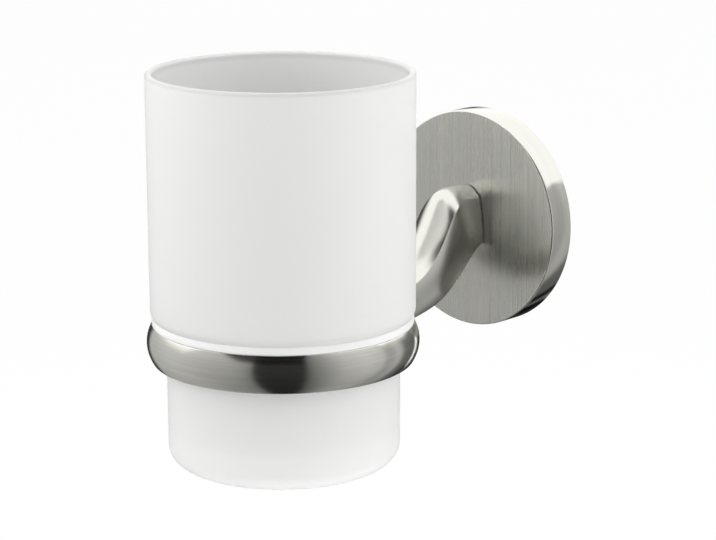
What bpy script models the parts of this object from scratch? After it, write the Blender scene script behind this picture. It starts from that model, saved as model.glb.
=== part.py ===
"""Wall-mounted tumbler holder: a stepped frosted tumbler that sits in a metal ring.

Units are metres, +Z is up and +Y points into the wall. The origin is the centre
of the wall bracket's back face, so the room is on the -Y side.

Pieces, from the wall outwards: wall_bracket, grub_screw, rosette, two arm screws
with their lock washers, arm, ring_screw, holder_ring, seat_ring and tumbler.
"""

import math

import bmesh
import bpy
from mathutils import Euler, Vector
from mathutils.geometry import interpolate_bezier

# Fits shared by all pieces
SEAT_GAP = 0.0003
THREAD_GAP = 0.0002
CUT_OVERRUN = 0.002
MERGE_DISTANCE = 0.00001

# Overall layout
PROJECTION = 0.0800
ARM_DROP = 0.0197

# Tumbler
TUMBLER_RADIUS = 0.0340
TUMBLER_FOOT_RADIUS = 0.0300
TUMBLER_UPPER_HEIGHT = 0.0633
TUMBLER_FOOT_HEIGHT = 0.0382
TUMBLER_WALL = 0.0018
TUMBLER_FOOT_WALL = 0.0025
TUMBLER_FLOOR = 0.0080
TUMBLER_SHOULDER_ROUND = 0.0039
TUMBLER_BOTTOM_ROUND = 0.0050
TUMBLER_FLOOR_ROUND = 0.0040
TUMBLER_RIM_ROUND = 0.0007
TUMBLER_LIFT_PLAY = 0.00035

# Seat ring, the plastic insert between glass and metal
SEAT_RING_WALL = 0.0010
SEAT_RING_FLANGE = 0.0006
SEAT_RING_FLANGE_WIDTH = 0.0020
SEAT_RING_DEPTH = 0.0090
SEAT_RING_EDGE = 0.0003

# Holder ring
RING_WALL = 0.00335
RING_HEIGHT = 0.0098
RING_CROWN = 0.0015
RING_EDGE = 0.0004

# Rosette, the round cover on the wall
ROSETTE_RADIUS = 0.0300
ROSETTE_DEPTH = 0.0080
ROSETTE_FRONT_WALL = 0.0020
ROSETTE_SIDE_WALL = 0.0020
ROSETTE_EDGE = 0.0004
COLLAR_WALL = 0.0018
COLLAR_SIDE_CLEARANCE = 0.0034
COLLAR_WALL_CLEARANCE = 0.0010
BOSS_WIDTH = 0.0080

# Wall bracket, which fits in the rosette's collar
BRACKET_SHEET = 0.0015
BRACKET_DEPTH = 0.0048
BRACKET_EDGE = 0.0005
WALL_SCREW_HOLE_RADIUS = 0.00225
WALL_SCREW_SLOT = 0.0030
WALL_SCREW_SLOT_MARGIN = 0.00325

# Arm
ARM_WIDTH = 0.0120
ARM_BASE_HEIGHT = 0.0156
ARM_BASE_RISE = 0.0017
ARM_CROWN = 0.0028
ARM_BULGE = 0.0008
ARM_BELLY = 0.0012
ARM_EDGE_ROUND = 0.0004
ARM_CORNER_ROUND = 0.0010
ARM_END_MARGIN = 0.0004
ARM_SCREW_SPACING = 0.0082
ARM_SCREW_RISE = 0.0013
ARM_SCREW_HOLE_DEPTH = 0.0080
RING_SCREW_HOLE_DEPTH = 0.0095

# Screws
SCREW_RADIUS = 0.0020
SCREW_TIP = 0.0005
PAN_HEAD_RADIUS = 0.0036
PAN_HEAD_HEIGHT = 0.0024
PAN_HEAD_EDGE = 0.0006
ARM_SCREW_LENGTH = 0.0100
WASHER_RADIUS = 0.0038
WASHER_THICKNESS = 0.0008
FLAT_HEAD_RADIUS = 0.0036
FLAT_HEAD_HEIGHT = 0.0018
FLAT_HEAD_RIM = 0.0003
RING_SCREW_LENGTH = 0.0120
SOCKET_RADIUS = 0.0014
SOCKET_DEPTH = 0.0012
GRUB_SCREW_RADIUS = 0.0015
GRUB_SCREW_TIP = 0.0004
GRUB_SCREW_RECESS = 0.0003
GRUB_SOCKET_RADIUS = 0.0009
GRUB_SOCKET_DEPTH = 0.0015

# Fineness: flat sides in a full turn, and points in a rounded corner
BIG_TURN = 64
SMALL_TURN = 24
HEXAGON = 6
CORNER_STEPS = 4
CROWN_STEPS = 8
SMOOTH_ANGLE = math.radians(35)

# The arm's sides run between an upper and a lower edge line, Bezier curves whose
# inner control points are shares of the reach (y) and of the fall (z) of each line
ARM_LINE_STEPS = 10
ARM_ARCH_STEPS = 6
UPPER_LINE_SHARES = ((0.300, -0.078), (0.282, 0.086), (0.418, 0.433), (0.617, 0.940), (0.766, 0.782))
LOWER_LINE_SHARES = ((0.124, 0.128), (0.143, 0.349), (0.305, 0.604), (0.446, 0.826), (0.576, 0.862))

# How the arm's section changes along it, from 0 at the rosette to 1 at the ring:
# shares of its width, of its crown, of its sides' bulge and of its belly
UPPER_WIDTH_SHARES = ((0, 0.745), (0.28, 1.0), (1, 1.0))
LOWER_WIDTH_SHARES = ((0, 1.0), (0.45, 0.86), (1, 0.86))
CROWN_SHARES = ((0, 1.14), (0.16, 1.3), (0.44, 1.0), (0.75, 1.0), (1, 0.5))
BULGE_SHARES = ((0, 0.28), (0.25, 1.0), (0.75, 1.0), (1, 0.5))
BELLY_SHARES = ((0, 1.0), (0.75, 1.0), (1, 0.2))

# Places worked out from the sizes above
RING_INNER_RADIUS = TUMBLER_FOOT_RADIUS + TUMBLER_LIFT_PLAY + SEAT_RING_WALL + SEAT_GAP
RING_OUTER_RADIUS = RING_INNER_RADIUS + RING_WALL
RING_EDGE_RADIUS = RING_OUTER_RADIUS - RING_CROWN
RING_TOP_Z = -ARM_DROP + RING_HEIGHT / 2
RING_BOTTOM_Z = -ARM_DROP - RING_HEIGHT / 2
FLANGE_BOTTOM_Z = RING_TOP_Z + SEAT_GAP
FLANGE_TOP_Z = FLANGE_BOTTOM_Z + SEAT_RING_FLANGE
SHOULDER_Z = FLANGE_TOP_Z + SEAT_GAP
RING_AXIS = Vector((0, -PROJECTION, 0))
ROSETTE_INNER_Y = -(ROSETTE_DEPTH - ROSETTE_FRONT_WALL)
ARM_BASE_Y = -(ROSETTE_DEPTH + SEAT_GAP)
ROSETTE_INNER_RADIUS = ROSETTE_RADIUS - ROSETTE_SIDE_WALL
COLLAR_OUTER_RADIUS = ROSETTE_INNER_RADIUS - COLLAR_SIDE_CLEARANCE
COLLAR_INNER_RADIUS = COLLAR_OUTER_RADIUS - COLLAR_WALL
BRACKET_RADIUS = COLLAR_INNER_RADIUS - SEAT_GAP
BRACKET_INNER_RADIUS = BRACKET_RADIUS - BRACKET_SHEET
WALL_SCREW_SLOT_HALF = WALL_SCREW_HOLE_RADIUS + WALL_SCREW_SLOT / 2
WALL_SCREW_X = BRACKET_INNER_RADIUS - WALL_SCREW_SLOT_MARGIN - WALL_SCREW_SLOT_HALF

# Ways a turned piece can face: its own +Z is turned to the direction named
FACING_UP = (0, 0, 0)
FACING_ROOM = (math.radians(90), 0, 0)
FACING_WALL = (math.radians(-90), 0, 0)


def clear_scene():
    for item in list(bpy.data.objects):
        bpy.data.objects.remove(item, do_unlink=True)


def collection(name):
    made = bpy.data.collections.new(name)
    bpy.context.scene.collection.children.link(made)
    return made


def material(name, colour, roughness, metallic):
    made = bpy.data.materials.new(name)
    made.use_nodes = True
    shader = made.node_tree.nodes["Principled BSDF"]
    shader.inputs["Base Color"].default_value = (*colour, 1)
    shader.inputs["Roughness"].default_value = roughness
    shader.inputs["Metallic"].default_value = metallic
    return made


def add_object(name, mesh, home, finish=None, place=(0, 0, 0), facing=FACING_UP):
    item = bpy.data.objects.new(name, mesh)
    home.objects.link(item)
    item.location = place
    item.rotation_euler = facing
    if finish:
        mesh.materials.append(finish)
    return item


def rounded(corners, steps=CORNER_STEPS):
    """The outline through (radius, height, rounding) corners, each with its own arc.

    Two rounded neighbours share the side between them, so neither arc runs past its middle.
    """
    points = []
    count = len(corners)
    for i, (x, z, rounding) in enumerate(corners):
        corner = Vector((x, z))
        if not rounding:
            points.append(corner)
            continue
        sides = []
        for neighbour in (corners[i - 1], corners[(i + 1) % count]):
            side = Vector(neighbour[:2]) - corner
            sides.append((side.normalized(), side.length / 2 if neighbour[2] else side.length))
        (before, room_before), (after, room_after) = sides
        half = before.angle(after) / 2
        back = min(rounding / math.tan(half), room_before, room_after)
        radius = back * math.tan(half)
        centre = corner + (before + after).normalized() * radius / math.sin(half)
        start = corner + before * back - centre
        sweep = start.angle_signed(corner + after * back - centre)
        for k in range(steps + 1):
            turn = -sweep * k / steps
            c, s = math.cos(turn), math.sin(turn)
            points.append(centre + Vector((c * start.x - s * start.y, s * start.x + c * start.y)))
    return points


def turned(name, outline, home, finish, place=(0, 0, 0), facing=FACING_UP, closed=True, steps=BIG_TURN):
    """A turned piece: the outline of (radius, height) points swept round the object's Z axis.

    An outline that starts and ends on the axis is left open there; any other is closed.
    """
    mesh = bpy.data.meshes.new(name)
    links = [(i, i + 1) for i in range(len(outline) - 1)]
    if closed:
        links.append((len(outline) - 1, 0))
    mesh.from_pydata([(r, 0, z) for r, z in outline], links, [])
    item = add_object(name, mesh, home, finish, place, facing)
    screw = item.modifiers.new("Turn", "SCREW")
    screw.steps = screw.render_steps = steps
    screw.use_merge_vertices = True
    screw.merge_threshold = MERGE_DISTANCE
    screw.use_smooth_shade = True
    return item


def cylinder(name, radius, length, home, place, facing, steps=SMALL_TURN):
    """A cylinder whose first end is at the place and which runs the way it faces."""
    made = bmesh.new()
    bmesh.ops.create_cone(made, cap_ends=True, segments=steps, radius1=radius, radius2=radius, depth=length)
    bmesh.ops.translate(made, verts=made.verts, vec=(0, 0, length / 2))
    mesh = bpy.data.meshes.new(name)
    made.to_mesh(mesh)
    made.free()
    return add_object(name, mesh, home, None, place, facing)


def prism(name, outline, length, home, place, facing):
    """A flat (x, y) outline at the place, drawn out to the length the way it faces."""
    made = bmesh.new()
    corners = [made.verts.new((x, y, 0)) for x, y in outline]
    bmesh.ops.remove_doubles(made, verts=corners, dist=MERGE_DISTANCE)
    base = bmesh.ops.contextual_create(made, geom=made.verts[:])["faces"]
    drawn = bmesh.ops.extrude_face_region(made, geom=base, use_keep_orig=True)["geom"]
    ends = [part for part in drawn if isinstance(part, bmesh.types.BMVert)]
    bmesh.ops.translate(made, verts=ends, vec=(0, 0, length))
    bmesh.ops.recalc_face_normals(made, faces=made.faces)
    mesh = bpy.data.meshes.new(name)
    made.to_mesh(mesh)
    made.free()
    return add_object(name, mesh, home, None, place, facing)


def box(name, low, high, home):
    made = bmesh.new()
    bmesh.ops.create_cube(made, size=1)
    size = Vector(high) - Vector(low)
    bmesh.ops.scale(made, verts=made.verts, vec=size)
    bmesh.ops.translate(made, verts=made.verts, vec=(Vector(low) + Vector(high)) / 2)
    mesh = bpy.data.meshes.new(name)
    made.to_mesh(mesh)
    made.free()
    return add_object(name, mesh, home)


def boolean(item, tool, operation):
    step = item.modifiers.new(tool.name, "BOOLEAN")
    step.operation = operation
    step.solver = "EXACT"
    step.object = tool


def cut(item, tool):
    hide_tool(tool)
    boolean(item, tool, "DIFFERENCE")


def join(item, tool):
    hide_tool(tool)
    boolean(item, tool, "UNION")


def hide_tool(tool):
    tool.hide_render = True
    tool.display_type = "WIRE"


def finish_mesh(item):
    """Fixes the modifiers' result in the mesh and shades it smooth between sharp edges."""
    graph = bpy.context.evaluated_depsgraph_get()
    mesh = bpy.data.meshes.new_from_object(item.evaluated_get(graph))
    item.modifiers.clear()
    item.data = mesh
    mesh.name = item.name
    mesh.shade_smooth()
    mesh.set_sharp_from_angle(angle=SMOOTH_ANGLE)


def tumbler(home, finish):
    """Stepped glass: the wide part stands on the seat ring and the narrow foot hangs through it."""
    rim = TUMBLER_UPPER_HEIGHT
    bottom = -TUMBLER_FOOT_HEIGHT
    step = TUMBLER_RADIUS - TUMBLER_FOOT_RADIUS
    shoulder_round = min(TUMBLER_SHOULDER_ROUND, step)
    inner_radius = TUMBLER_RADIUS - TUMBLER_WALL
    foot_inner_radius = TUMBLER_FOOT_RADIUS - TUMBLER_FOOT_WALL
    inner_shoulder = TUMBLER_WALL
    outline = rounded(
        [
            (0, bottom + TUMBLER_FLOOR, 0),
            (foot_inner_radius, bottom + TUMBLER_FLOOR, TUMBLER_FLOOR_ROUND),
            (foot_inner_radius, inner_shoulder, shoulder_round / 2),
            (inner_radius, inner_shoulder, shoulder_round / 2),
            (inner_radius, rim, TUMBLER_RIM_ROUND),
            (TUMBLER_RADIUS, rim, TUMBLER_RIM_ROUND),
            (TUMBLER_RADIUS, 0, shoulder_round),
            (TUMBLER_FOOT_RADIUS, 0, 0),
            (TUMBLER_FOOT_RADIUS, bottom, TUMBLER_BOTTOM_ROUND),
            (0, bottom, 0),
        ]
    )
    place = RING_AXIS + Vector((0, 0, SHOULDER_Z))
    return turned("tumbler", outline, home, finish, place, closed=False)


def seat_ring(home, finish):
    """Plastic insert: a sleeve in the holder ring with a flange that the glass stands on."""
    inner = TUMBLER_FOOT_RADIUS + TUMBLER_LIFT_PLAY
    sleeve = inner + SEAT_RING_WALL
    rim = sleeve + SEAT_RING_FLANGE_WIDTH
    outline = rounded(
        [
            (inner, SEAT_RING_FLANGE, SEAT_RING_EDGE),
            (rim, SEAT_RING_FLANGE, SEAT_RING_EDGE),
            (rim, 0, SEAT_RING_EDGE),
            (sleeve, 0, 0),
            (sleeve, -SEAT_RING_DEPTH, SEAT_RING_EDGE),
            (inner, -SEAT_RING_DEPTH, SEAT_RING_EDGE),
        ],
        steps=2,
    )
    place = RING_AXIS + Vector((0, 0, FLANGE_BOTTOM_Z))
    return turned("seat_ring", outline, home, finish, place)


def ring_outline(grow=0):
    """The holder ring's crowned outer face from top to bottom, set out by grow."""
    half = RING_HEIGHT / 2
    points = []
    for k in range(CROWN_STEPS + 1):
        share = 1 - 2 * k / CROWN_STEPS
        radius = RING_EDGE_RADIUS + RING_CROWN * (1 - share * share) + grow
        points.append((radius, share * half))
    return points


def holder_ring(home, cutters, finish):
    """Crowned metal band, drilled and countersunk at the back for the ring screw."""
    half = RING_HEIGHT / 2
    face = ring_outline()
    corners = [(r, z, 0) for r, z in face]
    corners[0] = (*face[0], RING_EDGE)
    corners[-1] = (*face[-1], RING_EDGE)
    corners += [(RING_INNER_RADIUS, -half, RING_EDGE), (RING_INNER_RADIUS, half, RING_EDGE)]
    middle = RING_AXIS + Vector((0, 0, -ARM_DROP))
    ring = turned("holder_ring", rounded(corners, steps=2), home, finish, middle)
    bore = cylinder(
        "ring_screw_bore",
        SCREW_RADIUS + THREAD_GAP,
        RING_WALL + 2 * CUT_OVERRUN,
        cutters,
        middle + Vector((0, RING_OUTER_RADIUS + CUT_OVERRUN, 0)),
        FACING_ROOM,
    )
    cut(ring, bore)
    sink = turned(
        "ring_screw_countersink",
        flat_head_outline(CUT_OVERRUN, SEAT_GAP),
        cutters,
        None,
        ring_screw_place(),
        FACING_ROOM,
        closed=False,
        steps=SMALL_TURN,
    )
    cut(ring, sink)
    return ring


def flat_head_outline(above=0, grow=0):
    """A countersunk head under its flat top, with its shank's start; above and grow make it a cutter."""
    return [
        (0, above),
        (FLAT_HEAD_RADIUS + grow, above),
        (FLAT_HEAD_RADIUS + grow, -FLAT_HEAD_RIM - grow),
        (SCREW_RADIUS + grow, -FLAT_HEAD_HEIGHT - grow),
        (0, -FLAT_HEAD_HEIGHT - grow),
    ]


def ring_screw_place():
    """The middle of the countersunk head's flat top, just under the ring's inner wall."""
    return RING_AXIS + Vector((0, RING_INNER_RADIUS + SEAT_GAP, -ARM_DROP))


def ring_screw(home, cutters, finish):
    """Countersunk screw from inside the holder ring into the end of the arm."""
    outline = flat_head_outline()[:-1] + [
        (SCREW_RADIUS, -RING_SCREW_LENGTH + SCREW_TIP),
        (SCREW_RADIUS - SCREW_TIP, -RING_SCREW_LENGTH),
        (0, -RING_SCREW_LENGTH),
    ]
    screw = turned(
        "ring_screw", outline, home, finish, ring_screw_place(), FACING_ROOM, closed=False, steps=SMALL_TURN
    )
    cut_socket(screw, cutters, ring_screw_place(), FACING_WALL)
    return screw


def cut_socket(screw, cutters, face, inwards, radius=SOCKET_RADIUS, depth=SOCKET_DEPTH):
    """Cuts a hexagon socket into a screw, from the middle of its end face inwards."""
    direction = Vector((0, 0, 1))
    direction.rotate(Euler(inwards))
    start = Vector(face) - direction * CUT_OVERRUN
    socket = cylinder(screw.name + "_socket", radius, depth + CUT_OVERRUN, cutters, start, inwards, HEXAGON)
    cut(screw, socket)


def rosette(home, cutters, finish):
    """Round cover shell with a collar that slips over the wall bracket and a boss for the grub screw."""
    inner = ROSETTE_INNER_RADIUS
    ceiling = ROSETTE_DEPTH - ROSETTE_FRONT_WALL
    outline = rounded(
        [
            (0, ROSETTE_DEPTH, 0),
            (ROSETTE_RADIUS, ROSETTE_DEPTH, ROSETTE_EDGE),
            (ROSETTE_RADIUS, 0, ROSETTE_EDGE),
            (inner, 0, 0),
            (inner, ceiling, ROSETTE_SIDE_WALL / 2),
            (COLLAR_OUTER_RADIUS, ceiling, 0),
            (COLLAR_OUTER_RADIUS, COLLAR_WALL_CLEARANCE, 0),
            (COLLAR_INNER_RADIUS, COLLAR_WALL_CLEARANCE, 0),
            (COLLAR_INNER_RADIUS, ceiling, 0),
            (0, ceiling, 0),
        ],
        steps=3,
    )
    shell = turned("rosette", outline, home, finish, (0, 0, 0), FACING_ROOM, closed=False)
    overlap = ROSETTE_SIDE_WALL / 2
    boss = box(
        "grub_screw_boss",
        (-BOSS_WIDTH / 2, ROSETTE_INNER_Y - overlap, -inner - overlap),
        (BOSS_WIDTH / 2, -COLLAR_WALL_CLEARANCE, -COLLAR_OUTER_RADIUS + COLLAR_WALL / 2),
        cutters,
    )
    join(shell, boss)
    for name, z in arm_screw_heights().items():
        hole = cylinder(
            "rosette_hole_" + name,
            SCREW_RADIUS + THREAD_GAP,
            ROSETTE_FRONT_WALL + 2 * CUT_OVERRUN,
            cutters,
            (0, ROSETTE_INNER_Y + CUT_OVERRUN, z),
            FACING_ROOM,
        )
        cut(shell, hole)
    tapped = cylinder(
        "grub_screw_hole",
        GRUB_SCREW_RADIUS + THREAD_GAP,
        ROSETTE_RADIUS - COLLAR_INNER_RADIUS + 2 * CUT_OVERRUN,
        cutters,
        (0, grub_screw_y(), -ROSETTE_RADIUS - CUT_OVERRUN),
        FACING_UP,
    )
    cut(shell, tapped)
    return shell


def grub_screw_y():
    """The grub screw runs through the middle of its boss and bears on the bracket's rim."""
    return (ROSETTE_INNER_Y - COLLAR_WALL_CLEARANCE) / 2


def grub_screw(home, cutters, finish):
    """Headless socket screw under the rosette; it locks the cover to the wall bracket."""
    bottom = -ROSETTE_RADIUS + GRUB_SCREW_RECESS
    top = -BRACKET_RADIUS - SEAT_GAP
    length = top - bottom
    outline = [
        (0, length),
        (GRUB_SCREW_RADIUS - GRUB_SCREW_TIP, length),
        (GRUB_SCREW_RADIUS, length - GRUB_SCREW_TIP),
        (GRUB_SCREW_RADIUS, 0),
        (0, 0),
    ]
    place = (0, grub_screw_y(), bottom)
    screw = turned("grub_screw", outline, home, finish, place, closed=False, steps=SMALL_TURN)
    cut_socket(screw, cutters, place, FACING_UP, GRUB_SOCKET_RADIUS, GRUB_SOCKET_DEPTH)
    return screw


def wall_bracket(home, cutters, finish):
    """Pressed steel pan: a disc on the wall with a rim, and one slot each way for the wall screws."""
    outline = rounded(
        [
            (0, BRACKET_SHEET, 0),
            (BRACKET_INNER_RADIUS, BRACKET_SHEET, BRACKET_EDGE),
            (BRACKET_INNER_RADIUS, BRACKET_DEPTH, 0),
            (BRACKET_RADIUS, BRACKET_DEPTH, 0),
            (BRACKET_RADIUS, 0, BRACKET_EDGE),
            (0, 0, 0),
        ],
        steps=2,
    )
    pan = turned("wall_bracket", outline, home, finish, (0, 0, 0), FACING_ROOM, closed=False)
    slots = {
        "level_slot": (-WALL_SCREW_X, WALL_SCREW_SLOT_HALF, WALL_SCREW_HOLE_RADIUS),
        "upright_slot": (WALL_SCREW_X, WALL_SCREW_HOLE_RADIUS, WALL_SCREW_SLOT_HALF),
    }
    for name, (x, half_width, half_height) in slots.items():
        corners = [(-1, -1), (1, -1), (1, 1), (-1, 1)]
        outline = rounded([(i * half_width, j * half_height, WALL_SCREW_HOLE_RADIUS) for i, j in corners])
        slot = prism(
            name, outline, BRACKET_SHEET + 2 * CUT_OVERRUN, cutters, (x, CUT_OVERRUN, 0), FACING_ROOM
        )
        cut(pan, slot)
    return pan


def arm_screw_heights():
    half = ARM_SCREW_SPACING / 2
    return {"upper": ARM_SCREW_RISE + half, "lower": ARM_SCREW_RISE - half}


def arm_screw(name, z, home, cutters, finish):
    """Pan head screw from inside the rosette into the arm's foot."""
    head = PAN_HEAD_HEIGHT
    outline = rounded(
        [
            (0, head, 0),
            (PAN_HEAD_RADIUS, head, PAN_HEAD_EDGE),
            (PAN_HEAD_RADIUS, 0, 0),
            (SCREW_RADIUS, 0, 0),
            (SCREW_RADIUS, -ARM_SCREW_LENGTH, SCREW_TIP),
            (0, -ARM_SCREW_LENGTH, 0),
        ],
        steps=2,
    )
    under_head = ROSETTE_INNER_Y + WASHER_THICKNESS + 2 * SEAT_GAP
    place = Vector((0, under_head, z))
    screw = turned(
        "arm_screw_" + name, outline, home, finish, place, FACING_WALL, closed=False, steps=SMALL_TURN
    )
    cut_socket(screw, cutters, place + Vector((0, head, 0)), FACING_ROOM)
    return screw


def lock_washer(name, z, home, finish):
    inner = SCREW_RADIUS + THREAD_GAP
    outline = [
        (WASHER_RADIUS, WASHER_THICKNESS),
        (WASHER_RADIUS, 0),
        (inner, 0),
        (inner, WASHER_THICKNESS),
    ]
    place = (0, ROSETTE_INNER_Y + SEAT_GAP, z)
    return turned("lock_washer_" + name, outline, home, finish, place, FACING_WALL, steps=SMALL_TURN)


def edge_line(start, end, shares):
    """One edge line of the arm in the YZ plane: two Bezier spans through shares of reach and fall."""
    spread = end - start
    inner = [start + Vector((0, spread.y * y, spread.z * z)) for y, z in shares]
    points = [start, *inner, end]
    first = interpolate_bezier(*points[0:4], ARM_LINE_STEPS)
    second = interpolate_bezier(*points[3:7], ARM_LINE_STEPS)
    return first + second[1:]


def share_at(place, shares):
    """The share at a place along the arm, which eases from one of the table's entries to the next."""
    for (start, before), (end, after) in zip(shares, shares[1:]):
        if place <= end:
            ease = (1 - math.cos(math.pi * (place - start) / (end - start))) / 2
            return before + (after - before) * ease
    return shares[-1][1]


def arch(start, end, height):
    """The points of a low arch over the straight line between two corners, on its right-hand side."""
    way = end - start
    outward = Vector((way.y, -way.x)).normalized()
    points = []
    for k in range(1, ARM_ARCH_STEPS):
        share = k / ARM_ARCH_STEPS
        points.append(start + way * share + outward * (4 * height * share * (1 - share)))
    return points


def arm_section(upper, lower, place):
    """A crowned top, bulging sides and a lower belly between the two edge lines."""
    middle = (upper + lower) / 2
    half = (upper - lower).length / 2
    upwards = (upper - lower).normalized()
    top = share_at(place, UPPER_WIDTH_SHARES) * ARM_WIDTH / 2
    foot = share_at(place, LOWER_WIDTH_SHARES) * ARM_WIDTH / 2
    crown = share_at(place, CROWN_SHARES) * ARM_CROWN
    bulge = share_at(place, BULGE_SHARES) * ARM_BULGE
    belly = share_at(place, BELLY_SHARES) * ARM_BELLY
    corners = [Vector((foot, -half)), Vector((top, half)), Vector((-top, half)), Vector((-foot, -half))]
    roundings = (ARM_CORNER_ROUND, ARM_EDGE_ROUND, ARM_EDGE_ROUND, ARM_CORNER_ROUND)
    outline = []
    for k, height in enumerate((bulge, crown, bulge, belly)):
        corner = corners[k]
        outline.append((corner.x, corner.y, roundings[k]))
        for point in arch(corner, corners[(k + 1) % len(corners)], height):
            outline.append((point.x, point.y, 0))
    return [middle + Vector((x, 0, 0)) + upwards * z for x, z in rounded(outline)]


def arm(home, cutters, finish):
    """Cast arm: it leaves the rosette level, sweeps down and meets the ring in a saddle."""
    end_y = RING_AXIS.y + RING_EDGE_RADIUS - CUT_OVERRUN
    start_crown = share_at(0, CROWN_SHARES) * ARM_CROWN
    start_top = ARM_BASE_RISE + ARM_BASE_HEIGHT / 2 - start_crown
    start_bottom = ARM_BASE_RISE - ARM_BASE_HEIGHT / 2
    end_crown = share_at(1, CROWN_SHARES) * ARM_CROWN
    upper = edge_line(
        Vector((0, ARM_BASE_Y, start_top)),
        Vector((0, end_y, RING_TOP_Z - ARM_END_MARGIN - end_crown)),
        UPPER_LINE_SHARES,
    )
    lower = edge_line(
        Vector((0, ARM_BASE_Y, start_bottom)),
        Vector((0, end_y, RING_BOTTOM_Z + ARM_END_MARGIN)),
        LOWER_LINE_SHARES,
    )
    count = len(upper) - 1
    sections = [arm_section(upper[k], lower[k], k / count) for k in range(count + 1)]
    mesh = lofted("arm", sections)
    item = add_object("arm", mesh, home, finish)
    cut(item, ring_saddle_cutter(cutters))
    for name, z in arm_screw_heights().items():
        hole = cylinder(
            "arm_hole_" + name,
            SCREW_RADIUS + THREAD_GAP,
            ARM_SCREW_HOLE_DEPTH + CUT_OVERRUN,
            cutters,
            (0, ARM_BASE_Y + CUT_OVERRUN, z),
            FACING_ROOM,
        )
        cut(item, hole)
    saddle_y = RING_AXIS.y + RING_OUTER_RADIUS
    ring_hole = cylinder(
        "arm_hole_ring",
        SCREW_RADIUS + THREAD_GAP,
        RING_SCREW_HOLE_DEPTH + CUT_OVERRUN,
        cutters,
        (0, saddle_y - CUT_OVERRUN, -ARM_DROP),
        FACING_WALL,
    )
    cut(item, ring_hole)
    return item


def lofted(name, sections):
    """A closed skin over sections that have the same number of points, with flat ends."""
    made = bmesh.new()
    rows = [[made.verts.new(p) for p in section] for section in sections]
    count = len(rows[0])
    for here, there in zip(rows, rows[1:]):
        for k in range(count):
            follow = (k + 1) % count
            made.faces.new((here[k], there[k], there[follow], here[follow]))
    made.faces.new(rows[0])
    made.faces.new(list(reversed(rows[-1])))
    bmesh.ops.recalc_face_normals(made, faces=made.faces)
    mesh = bpy.data.meshes.new(name)
    made.to_mesh(mesh)
    made.free()
    return mesh


def ring_saddle_cutter(cutters):
    """The holder ring's outside, set out by the seat gap, as one solid turned block."""
    face = ring_outline(SEAT_GAP)
    above = RING_HEIGHT / 2 + CUT_OVERRUN
    outline = [(0, above), (face[0][0], above), *face, (face[-1][0], -above), (0, -above)]
    place = RING_AXIS + Vector((0, 0, -ARM_DROP))
    return turned("ring_saddle", outline, cutters, None, place, closed=False)


def build():
    clear_scene()
    home = collection("tumbler_holder")
    cutters = collection("cutters")
    nickel = (0.72, 0.716, 0.665)
    steel = (0.50, 0.50, 0.50)
    screw_steel = material("screw_steel", steel, 0.35, 1)
    made = [
        tumbler(home, material("frosted_glass", (0.90, 0.91, 0.91), 0.45, 0)),
        seat_ring(home, material("clear_plastic", (0.86, 0.87, 0.86), 0.25, 0)),
        holder_ring(home, cutters, material("ring_nickel", nickel, 0.28, 1)),
        ring_screw(home, cutters, screw_steel),
        arm(home, cutters, material("arm_nickel", nickel, 0.28, 1)),
        rosette(home, cutters, material("rosette_nickel", nickel, 0.30, 1)),
        grub_screw(home, cutters, screw_steel),
        wall_bracket(home, cutters, material("bracket_steel", (0.60, 0.60, 0.61), 0.40, 1)),
    ]
    for name, z in arm_screw_heights().items():
        made.append(arm_screw(name, z, home, cutters, screw_steel))
        made.append(lock_washer(name, z, home, screw_steel))
    bpy.context.view_layer.update()
    for item in made:
        finish_mesh(item)


build()
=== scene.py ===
"""Tumbler holder: fine surfaces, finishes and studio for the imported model.

All places and sizes are in metres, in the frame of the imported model: +Z is up and
-Y points from the wall into the room. Each operator of the add-on below builds one
piece or a group of like pieces, and the last one builds the studio.
"""

import math

import bmesh
import bpy
from mathutils import Matrix, Vector
from mathutils.geometry import interpolate_bezier


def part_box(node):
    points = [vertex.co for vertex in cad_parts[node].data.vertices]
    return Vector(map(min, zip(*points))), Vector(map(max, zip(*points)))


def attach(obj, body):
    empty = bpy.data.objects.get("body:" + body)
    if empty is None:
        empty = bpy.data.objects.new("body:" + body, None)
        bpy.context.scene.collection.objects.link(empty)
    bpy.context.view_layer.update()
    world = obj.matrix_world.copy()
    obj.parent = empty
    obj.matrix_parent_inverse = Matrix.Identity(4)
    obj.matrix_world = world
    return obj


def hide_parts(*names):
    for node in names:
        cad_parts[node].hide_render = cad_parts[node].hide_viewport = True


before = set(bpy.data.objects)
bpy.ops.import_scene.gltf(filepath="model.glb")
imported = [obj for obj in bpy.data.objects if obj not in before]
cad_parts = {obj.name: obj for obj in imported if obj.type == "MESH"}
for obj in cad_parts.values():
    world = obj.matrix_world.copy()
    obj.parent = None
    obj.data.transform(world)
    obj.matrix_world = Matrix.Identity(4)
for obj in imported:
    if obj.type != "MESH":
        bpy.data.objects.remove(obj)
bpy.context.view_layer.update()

bl_info = {
    "name": "Tumbler holder",
    "version": (1, 0, 0),
    "blender": (4, 5, 0),
    "location": "View3D > Sidebar > Holder",
    "description": "Builds a wall-mounted tumbler holder and a plain studio round it",
    "category": "Add Mesh",
}

UP = Vector((0, 0, 1))
ROOM = Vector((0, -1, 0))
WALL = Vector((0, 1, 0))
WHITE = (1, 1, 1, 1)
DEGREES = 180 / math.pi

# points nearer than MERGE are one point, and cutters reach past a surface by OVERRUN
MERGE = 0.000001
START_SIZE = 0.001
OVERRUN = 0.002
SMOOTH_ANGLE = math.radians(30)

# points in a rounded corner, and flat sides in a full turn
CORNER_STEPS = 6
FINE_TURN = 192
BIG_TURN = 160
SMALL_TURN = 48
HEXAGON = 6

# rates of the hair lines' pattern, along the lines and across them
HAIR_LINES = (2.6, 5200.0)
# straight rim of the ring screw's countersunk head
FLAT_RIM = 0.0003
ARM_SCREWS = ("arm_screw_upper", "arm_screw_lower")


# ---------------------------------------------------------------- properties


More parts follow.
